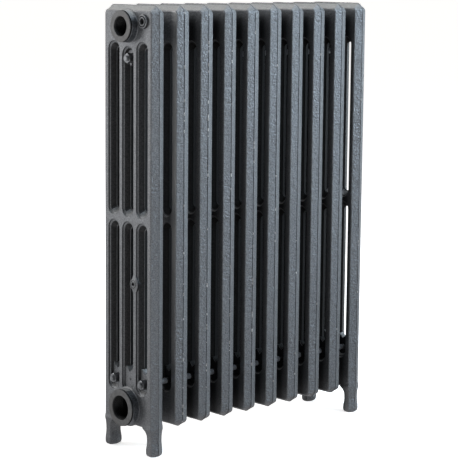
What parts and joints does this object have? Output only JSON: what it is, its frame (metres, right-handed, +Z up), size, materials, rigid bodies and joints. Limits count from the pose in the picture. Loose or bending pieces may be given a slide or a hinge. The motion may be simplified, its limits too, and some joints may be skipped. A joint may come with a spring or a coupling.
{
  "type": "cast iron radiator",
  "caption": "Free-standing cast iron column radiator: a row of slim four-column sections, the end ones on legs, with threaded ports at both ends and tie rods through the slots.",
  "frame": {"origin": "on the floor, under the middle of the row", "axes": "+X along the row of sections towards the right end, -Y towards the front, +Z up"},
  "size_m": [0.45, 0.113, 0.635],
  "materials": {
    "painted_casting": "sprayed blue-grey metallic paint over a sand-cast skin, machined port faces left bare",
    "bare_iron": "turned, unpainted",
    "painted_steel": "sprayed with the same grey paint as the sections"
  },
  "bodies": {
    "root": {"end_section_left": "painted_casting", "end_section_right": "painted_casting", "middle_section_1": "painted_casting", "middle_section_2": "painted_casting", "middle_section_3": "painted_casting", "middle_section_4": "painted_casting", "middle_section_5": "painted_casting", "middle_section_6": "painted_casting", "middle_section_7": "painted_casting", "middle_section_8": "painted_casting", "top_nipple_1": "bare_iron", "bottom_nipple_1": "bare_iron", "top_nipple_2": "bare_iron", "bottom_nipple_2": "bare_iron", "top_nipple_3": "bare_iron", "bottom_nipple_3": "bare_iron", "top_nipple_4": "bare_iron", "bottom_nipple_4": "bare_iron", "top_nipple_5": "bare_iron", "bottom_nipple_5": "bare_iron", "top_nipple_6": "bare_iron", "bottom_nipple_6": "bare_iron", "top_nipple_7": "bare_iron", "bottom_nipple_7": "bare_iron", "top_nipple_8": "bare_iron", "bottom_nipple_8": "bare_iron", "top_nipple_9": "bare_iron", "bottom_nipple_9": "bare_iron", "front_tie_rod": "painted_steel", "front_nut_left": "painted_steel", "front_washer_left": "painted_steel", "front_nut_right": "painted_steel", "front_washer_right": "painted_steel", "rear_tie_rod": "painted_steel", "rear_nut_left": "painted_steel", "rear_washer_left": "painted_steel", "rear_nut_right": "painted_steel", "rear_washer_right": "painted_steel", "top_tie_rod": "painted_steel", "top_nut_left": "painted_steel", "top_washer_left": "painted_steel", "top_nut_right": "painted_steel", "top_washer_right": "painted_steel"}
  },
  "joints": []
}
